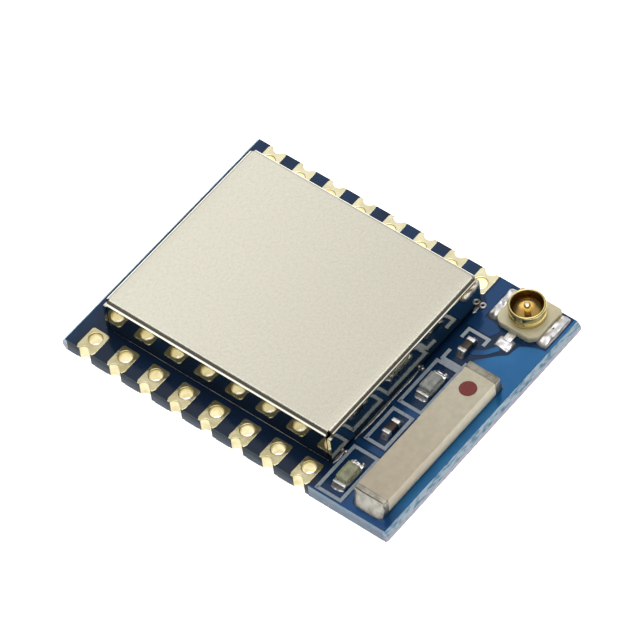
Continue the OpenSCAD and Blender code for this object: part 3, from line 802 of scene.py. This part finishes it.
def soft_block(low, high, bevel, taper=0.0, uneven=0.0):
    """A block with rounded edges, whose top may be narrower all round by taper."""
    low, high = Vector(low), Vector(high)
    middle, size = (low + high) / 2, high - low
    bm = bmesh.new()
    bmesh.ops.create_cube(bm, size=1.0, matrix=Matrix.LocRotScale(middle, None, size))
    bmesh.ops.bevel(bm, geom=list(bm.edges), offset=bevel, segments=3, profile=0.5,
                    affect="EDGES", clamp_overlap=True)
    if uneven:
        long_edges = [e for e in bm.edges if e.calc_length() > 0.3]
        bmesh.ops.subdivide_edges(bm, edges=long_edges, cuts=6, use_grid_fill=True)
    for v in bm.verts:
        inward = taper * (v.co.z - low.z) / size.z
        for axis in (0, 1):
            off = v.co[axis] - middle[axis]
            v.co[axis] -= inward * math.copysign(min(1, abs(off) * 4), off)
        v.co += uneven * noise.noise_vector(v.co * 2.5)
    return bm


def sleeve(low, high, mouth, bevel, ragged):
    """A plated end: a five-sided cap round a block, open towards mouth (-1 or 1 along y)."""
    low, high = Vector(low), Vector(high)
    middle = (low + high) / 2
    corners = []
    for cx, cz, turn in ((high.x - bevel, high.z - bevel, 0), (low.x + bevel, high.z - bevel, 90),
                         (low.x + bevel, low.z + bevel, 180), (high.x - bevel, low.z + bevel, 270)):
        corners += arc(cx, cz, bevel, turn, turn + 90, 4)
    points = []
    for a, b in zip(corners, corners[1:] + corners[:1]):
        points += [a] + steps_between(a, b, 5)

    def loop(inset, along):
        """The outline drawn in by a share of its size, at the places along y."""
        return [(x + (middle.x - x) * inset, y, z + (middle.z - z) * inset)
                for (x, z), y in zip(points, along)]

    closed, open_end = (low.y, high.y) if mouth > 0 else (high.y, low.y)
    mouth_y = [open_end - mouth * (0.01 + ragged * (0.5 + noise.noise(Vector((x * 5, z * 5, 3)))))
               for x, z in points]
    rows = [loop(0.9 * inset, [closed + mouth * depth] * len(points))
            for inset, depth in ((bevel, 0), (0.3 * bevel, 0.3 * bevel), (0, bevel))]
    return shell(rows + [loop(0, mouth_y), loop(0.03, [y + mouth * 0.01 for y in mouth_y])])


def sleeves(low, high, near_l, far_l, bevel, ragged):
    """The two plated ends of a part whose plating reaches from low to high."""
    return [sleeve(low, (high.x, low.y + near_l, high.z), 1, bevel, ragged),
            sleeve((low.x, high.y - far_l, low.z), high, -1, bevel, ragged)]


def end_joint(x0, x1, y, out, height, reach, seed, lap=0.08, full=0.0):
    """Solder drawn up the end of a part: concave, or nearly straight when there is more of it."""
    rows = []
    for share in steps(0, 1, 14):
        edge = min(share, 1 - share)
        swell = (1 + 0.22 * noise.noise(Vector((share * 4, seed, 1)))
                 - (0.5 - full) * math.exp(-edge * 14))
        up, far = height * swell, reach * swell
        x = x0 + (x1 - x0) * share
        profile = [(-lap, up * 0.96), (0, up), (0.15 * far, (0.74 + full) * up),
                   (0.4 * far, (0.42 + 1.4 * full) * up), (0.72 * far, (0.17 + full) * up),
                   (0.95 * far, 0.05 * up), (far, 0.005), (far, -sunk), (-lap, -sunk)]
        rows.append([(x, y + out * a, board_top + b) for a, b in profile])
    return shell(rows)


def ceramic_finish():
    """Fired ceramic, paler towards the far end and faintly mottled."""
    finish, tree, shader = new_finish("antenna_ceramic", ceramic_tan, 0.42)
    tone = mixed(tree, drift(tree, "Y", antenna_low.y, antenna_high.y), ceramic_tan, ceramic_cream)
    mottle = blend_colours(tree, speckle(tree, 0.35, 5.0), (0.90, 0.90, 0.89), (1, 1, 1))
    dress(tree, shader, mixed(tree, 1.0, tone, mottle, "MULTIPLY"), (0.3, 3.0), 0.34, 0.5,
          (0.12, 4.0), 0.008)
    return finish


def red_ink_finish():
    """Printed ink, a little uneven."""
    finish, tree, shader = new_finish("red_ink", dot_red, 0.45)
    feed(shader.inputs["Base Color"],
         blend_colours(tree, speckle(tree, 0.12, 4.0), dot_red, dot_pale))
    relief(tree, shader, speckle(tree, 0.1), 0.01)
    return finish


noise.seed_set(uneven_seed)
antenna_low, antenna_high = box_mm("antenna_block")
bands_low, bands_high = box_mm("antenna_bands")
joints_low, joints_high = box_mm("antenna_solder")
fit("ceramic_block", [soft_block(antenna_low, antenna_high, 0.06, uneven=0.006)],
    ceramic_finish(), "antenna_ceramic", "antenna_block")
fired_silver = metal_finish("fired_silver", band_silver, band_taupe, 0.24, 0.42, 0.3, (0.45, 0.75),
                            polish=0.15, pit=0.14, depth=0.02, metallic=0.9)
bands = sleeves(bands_low, bands_high, near_band_l, far_band_l, band_r, band_ragged)
fit("plated_ends", bands, fired_silver, "tin_plating", "antenna_bands")
dot = flat_plate(arc(dot_x, dot_y, dot_r, 0, 352.5, 47), antenna_high.z - 0.02,
                 antenna_high.z + 0.012)
fit("feed_dot", [dot], red_ink_finish(), "antenna_ceramic")
joints = [end_joint(joints_low.x, joints_high.x, bands_low.y, -1, near_rise,
                    bands_low.y - joints_low.y, 2.0, full=0.05),
          end_joint(joints_low.x, joints_high.x, bands_high.y, 1, far_rise,
                    joints_high.y - bands_high.y, 5.0)]
antenna_joint = metal_finish("antenna_joint", joint_silver, joint_dull, 0.24, 0.42, 0.35)
fit("antenna_joints", joints, antenna_joint, "solder", "antenna_solder")

# ---- Antenna socket ----
# A small coaxial socket: a gold ring rolled over at its mouth and grooved for the plug's catch,
# a gold centre pin, and a cream resin base whose three tails are soldered down.

socket_x, socket_y = 8.25, 6.70
base_low, base_high = box_mm("socket_base")
ring_low, ring_high = box_mm("socket_ring")
cut_corner, corner_r = 0.35, 0.16
ring_r, ring_wall, groove, groove_h, groove_z = 1.0, 0.16, 0.05, 0.20, 1.64
floor_r, floor_z, well_z = 0.185, 1.34, 1.60
leg_w, foot_w, tail_w, tail_t, tail_bevel = 0.6, 1.8, 0.5, 0.12, 0.03
pin_r, pin_tip, pin_dome = 0.18, 2.10, 0.07
well_shade_brown, pin_pale = (0.60, 0.46, 0.30), (0.92, 0.86, 0.66)
plated_tin, tin_shade = (0.74, 0.73, 0.71), (0.56, 0.55, 0.52)
socket_gold_tone, socket_brass = (0.80, 0.67, 0.31), (0.64, 0.51, 0.20)
joint_white, joint_grey = (0.80, 0.79, 0.80), (0.40, 0.385, 0.41)
resin_cream, resin_shade = (0.90, 0.83, 0.59), (0.78, 0.71, 0.48)


def ring_profile():
    """From the foot up over the groove and the rolled mouth, and down into the bowl of the well."""
    foot, inner, roll = base_high.z - 0.01, ring_r - ring_wall, ring_wall / 2
    waist = [(ring_r - groove * (0.5 + 0.5 * math.cos(a)), groove_z + groove_h / 2 * a / math.pi)
             for a in steps(-math.pi, math.pi, 8)]
    mouth = arc(ring_r - roll, ring_high.z - roll, roll, 0, 180, 10)
    bowl = [(inner - (inner - floor_r) * (1 - math.cos(a)),
             well_z - (well_z - floor_z) * math.sin(a)) for a in steps(0, math.pi / 2, 10)[1:]]
    return ([(ring_r, foot)] + waist + [(ring_r, groove_z + groove_h / 2 + 0.05)] + mouth
            + [(inner, z) for z in steps(ring_high.z - roll, well_z, 4)[1:]] + bowl
            + [(floor_r, foot)])


def pin_profile():
    """From the foot on the base up to the domed tip."""
    foot = base_high.z - 0.02
    dome = [(pin_r * math.cos(a), pin_tip - pin_dome * (1 - math.sin(a)))
            for a in steps(0, math.pi / 2, 6)[:-1]]
    return [(0.02, foot), (pin_r, foot), (pin_r, floor_z)] + dome + [(0.004, pin_tip)]


def base_plate():
    """The resin base: two cut corners towards the front, every upright edge rounded."""
    x0, y0, x1, y1 = base_low.x, base_low.y, base_high.x, base_high.y
    corners = [(x0 + cut_corner, y0), (x1 - cut_corner, y0), (x1, y0 + cut_corner), (x1, y1),
               (x0, y1), (x0, y0 + cut_corner)]
    outline = []
    for before, corner, after in zip(corners[-1:] + corners, corners, corners[1:] + corners[:1]):
        here = Vector(corner)
        back, on = ((Vector(p) - here).normalized() * corner_r for p in (before, after))
        outline += [tuple(here + back * (1 - t) ** 2 + on * t ** 2) for t in steps(0, 1, 4)]
    return flat_plate(outline, base_low.z, base_high.z, 0.04)


def resin_finish(name, light, dark, roughness):
    """Moulded resin or glazed ceramic, which lets a little light in."""
    finish, tree, shader = new_finish(name, light, roughness)
    feed(shader.inputs["Subsurface Weight"], 0.1)
    feed(shader.inputs["Subsurface Scale"], 0.2 * MM)
    tone = blend_colours(tree, speckle(tree, 0.5, 4.0), light, dark, 0.4, 0.75)
    dress(tree, shader, tone, (0.15, 3.0), roughness - 0.08, roughness + 0.1, (0.1, 4.0), 0.010)
    return finish


def turned_gold(name, bright, dull, well):
    """Gold over brass. Inside the socket's well the colour is painted darker, as painted shade in
    the recess.
    """
    finish, tree, shader = new_finish(name, bright, 0.16, 1.0)
    tone = blend_colours(tree, speckle(tree, 0.3, 3.0, (3, 3, 0.4)), bright, dull, 0.2, 1.0)
    flat = worked_out(tree, "ShaderNodeVectorMath", "MULTIPLY", place_on_module(tree),
                      (1, 1, 0))["Vector"]
    radius = worked_out(tree, "ShaderNodeVectorMath", "DISTANCE", flat,
                        (socket_x * MM, socket_y * MM, 0))["Value"]
    in_shaded_well = soft_step(tree, radius, (ring_r - 0.10) * MM, (ring_r - ring_wall) * MM)
    dress(tree, shader, mixed(tree, in_shaded_well, tone, mixed(tree, 1.0, tone, well, "MULTIPLY")),
          (0.08, 3.0, (5, 5, 0.4)), 0.20, 0.28, (0.06, 2.0, (8, 8, 0.5)), 0.002)
    return finish


fit("resin_base", [base_plate()], resin_finish("socket_resin", resin_cream, resin_shade, 0.42),
    "socket_resin", "socket_base")
tail_top = board_top + tail_t
legs = []
for wide, gap in ((leg_w, -0.02), (foot_w, 0.005)):
    front, back = socket_y - wide / 2, socket_y + wide / 2
    for x0, x1 in ((ring_low.x, base_low.x - gap), (base_high.x + gap, ring_high.x)):
        legs.append(soft_block((x0, front, board_top), (x1, back, tail_top), tail_bevel))
# The ring's well takes a painted shade, a darker brown.
fit("gold_ring", [lathe(socket_x, socket_y, ring_profile())] + legs,
    turned_gold("turned_gold", socket_gold_tone, socket_brass, well_shade_brown), "socket_gold",
    "socket_ring")
fit("gold_pin", [lathe(socket_x, socket_y, pin_profile(), 40)],
    turned_gold("pin_gold", pin_pale, socket_gold_tone, (1, 1, 1)), "socket_gold", "socket_pin")
tin = metal_finish("tin_plating", plated_tin, tin_shade, 0.2, 0.4)
tail = soft_block((socket_x - tail_w / 2, box_mm("socket_pin")[0].y, board_top),
                  (socket_x + tail_w / 2, base_low.y + 0.05, tail_top), tail_bevel)
fit("tinned_tail", [tail], tin, "socket_gold")


def puddle(x0, y0, x1, y1, height, seed):
    """Solder that has wetted a land: flat in the middle, drawn in at the corners, uneven."""
    rows = []
    for u in steps(-1, 1, 16):
        upper, lower = [], []
        for v in steps(-1, 1, 16):
            pull = 0.05 * (abs(u) ** 6 + abs(v) ** 6)
            x = (x0 + x1) / 2 + (x1 - x0) / 2 * u * (1 - pull * abs(v))
            y = (y0 + y1) / 2 + (y1 - y0) / 2 * v * (1 - pull * abs(u))
            dome = (1 - abs(u) ** 7) * (1 - abs(v) ** 7)
            rough = noise.noise(Vector((x * 3, y * 3, seed)))
            swell = (height - sunk) * (0.8 + 0.4 * rough) + 0.02 * rough
            upper.append((x, y, board_top + sunk + dome * swell))
            lower.append((x, y, board_top - sunk))
        rows.append(upper + lower[::-1])
    return shell(rows)


joints_low, joints_high = box_mm("socket_solder")
left, front, right = joints_low.x, joints_low.y, joints_high.x + 0.10
joints = [puddle(left, socket_y - 1.1, base_low.x + 0.06, socket_y + 1.1, 0.24, 3.0),
          puddle(base_high.x - 0.06, socket_y - 1.1, right, socket_y + 1.2, 0.19, 7.0),
          puddle(socket_x - 0.475, front, socket_x + 0.475, front + 0.8, 0.10, 9.0)]
bright_joint = metal_finish("socket_joint", joint_white, joint_grey, 0.24, 0.42, 0.4)
fit("socket_joints", joints, bright_joint, "solder", "socket_solder")

# ---- Lamps ----
# Two chip lamps: a white laminate base with plated ends, a die on a pale pad, and a moulded
# lens over both; the power lamp's is yellow-green, the signal lamp's clear.

lens_yellow, lens_clear = (0.90, 0.91, 0.60), (0.93, 0.95, 0.94)
lamp_white, lamp_shade = (0.74, 0.76, 0.68), (0.38, 0.40, 0.33)
die_black, die_brown = (0.03, 0.035, 0.03), (0.06, 0.06, 0.05)
terminal_l, joint_reach = 0.22, 0.24
# Both are given about the lens: to the front, to the back, half width, foot, top and bevel.
die_pad_sizes = (0.42, 0.25, 0.26, 0.01, 0.05, 0.015)
die_sizes = (0.16, 0.06, 0.11, 0.055, 0.15, 0.02)


def lens_finish(name, colour):
    """Cloudy clear resin."""
    finish, tree, shader = new_finish(name, colour, 0.12)
    feed(shader.inputs["Transmission Weight"], 0.68)
    feed(shader.inputs["IOR"], 1.5)
    tone = blend_colours(tree, speckle(tree, 0.25), colour, [c * 0.8 for c in colour])
    dress(tree, shader, tone, (0.1, 3.0), 0.08, 0.22, (0.15, 3.0), 0.012)
    return finish


def block_under(lens_low, lens_high, front, back, half, foot, top, bevel):
    """A small block that stands in a lens, about the lens's centre and over its floor."""
    x, y, z = (lens_low.x + lens_high.x) / 2, (lens_low.y + lens_high.y) / 2, lens_low.z
    return soft_block((x - half, y - front, z + foot), (x + half, y + back, z + top), bevel)


lamp_body = resin_finish("lamp_laminate", lamp_white, lamp_shade, 0.4)
die_dark = resin_finish("lamp_die", die_black, die_brown, 0.3)
lamp_joints = []
for name, slot, tone in (("power_lamp", "yellow_lens", lens_yellow),
                         ("signal_lamp", "clear_lens", lens_clear)):
    low, high = box_mm(name + "_base")
    fit(name + "_laminate", [soft_block(low, high, 0.02)], lamp_body, "lamp_resin",
        name + "_base")
    ends_low, ends_high = box_mm(name + "_terminals")
    plating_top = Vector((ends_high.x, ends_high.y, high.z + 0.02))
    fit(name + "_plated_ends", sleeves(ends_low, plating_top, terminal_l, terminal_l, 0.03, 0.02),
        tin, "tin_plating", name + "_terminals")
    low, high = box_mm(name + "_lens")
    fit(name + "_moulding", [soft_block(low, high, 0.05, taper=0.05, uneven=0.006)],
        lens_finish(name + "_clear_resin", tone), slot, name + "_lens")
    for part, sizes, finish in (("_die_pad", die_pad_sizes, lamp_body),
                                ("_die", die_sizes, die_dark)):
        fit(name + part, [block_under(low, high, *sizes)], finish, "lamp_resin")
    for y, out, height in ((ends_low.y, -1, 0.14), (ends_high.y, 1, 0.27)):
        lamp_joints.append(end_joint(ends_low.x + 0.02, ends_high.x - 0.02, y, out, height,
                                     joint_reach, y, lap=0.05, full=0.5 * height))
    lamp_joints += [bead(ends_high.x - 0.12, ends_high.y + 0.06, 0.15, 0.30, seed=ends_high.y),
                    bead(ends_low.x + 0.20, ends_high.y + 0.04, 0.12, 0.24, seed=ends_low.y)]
fit("lamp_joints", lamp_joints, solder, "solder", "lamp_solder")

# ---- Chip resistor and capacitor ----
# Two tiny parts beside the lamps: a glazed resistor and a brown ceramic capacitor, with
# tinned ends drawn down onto their lands by the solder.

cap_l, cap_r, cap_ragged, cap_rise = 0.24, 0.045, 0.03, 0.26
glaze_black, glaze_red = (0.022, 0.012, 0.010), (0.045, 0.020, 0.016)
capacitor_brown, capacitor_tan = (0.030, 0.022, 0.014), (0.060, 0.043, 0.026)

chip_joints = []
for name, light, dark, slot in (
        ("series_resistor", glaze_red, glaze_black, "resistor_glaze"),
        ("coupling_capacitor", capacitor_tan, capacitor_brown, "capacitor_ceramic")):
    low, high = box_mm(name)
    fit(name + "_block", [soft_block(low, high, 0.03)],
        resin_finish(name + "_body", light, dark, 0.3), slot, name)
    low, high = box_mm(name + "_caps")
    fit(name + "_tinned_ends", sleeves(low, high, cap_l, cap_l, cap_r, cap_ragged), tin,
        "tin_plating", name + "_caps")
    for y, out in ((low.y, -1), (high.y, 1)):
        chip_joints.append(end_joint(low.x + 0.01, high.x - 0.01, y, out, cap_rise, joint_reach,
                                     y + 20, lap=0.03))
fit("chip_joints", chip_joints, solder, "solder", "chip_solder")

# ---- Chips under the can ----
# The radio, its memory, the crystal and their small parts. They stay as they were built and
# only take their finishes.

crystal_pale, crystal_tan = (0.30, 0.24, 0.17), (0.22, 0.18, 0.12)
lid_bright, lid_dull = (0.80, 0.76, 0.66), (0.62, 0.58, 0.50)
coil_grey, coil_dark = (0.16, 0.17, 0.18), (0.09, 0.10, 0.11)
moulded_black, moulded_grey = (0.012, 0.012, 0.013), (0.024, 0.024, 0.025)
inner_tan = (0.16, 0.11, 0.06)

give_finish(resin_finish("moulded_black", moulded_black, moulded_grey, 0.5), "radio_chip",
            "memory_chip")
give_finish(resin_finish("crystal_ceramic", crystal_pale, crystal_tan, 0.5), "crystal_base")
give_finish(metal_finish("crystal_lid", lid_bright, lid_dull, 0.2, 0.36), "crystal_lid")
give_finish(resin_finish("resistor_glaze", glaze_black, glaze_red, 0.3), "inner_resistors")
give_finish(resin_finish("capacitor_ceramic", capacitor_tan, inner_tan, 0.4), "inner_capacitors")
give_finish(resin_finish("coil_ceramic", coil_grey, coil_dark, 0.4), "inner_coils")
give_finish(tin, "radio_lead_frame", "memory_leads", "inner_resistor_caps",
            "inner_capacitor_caps", "inner_coil_caps")
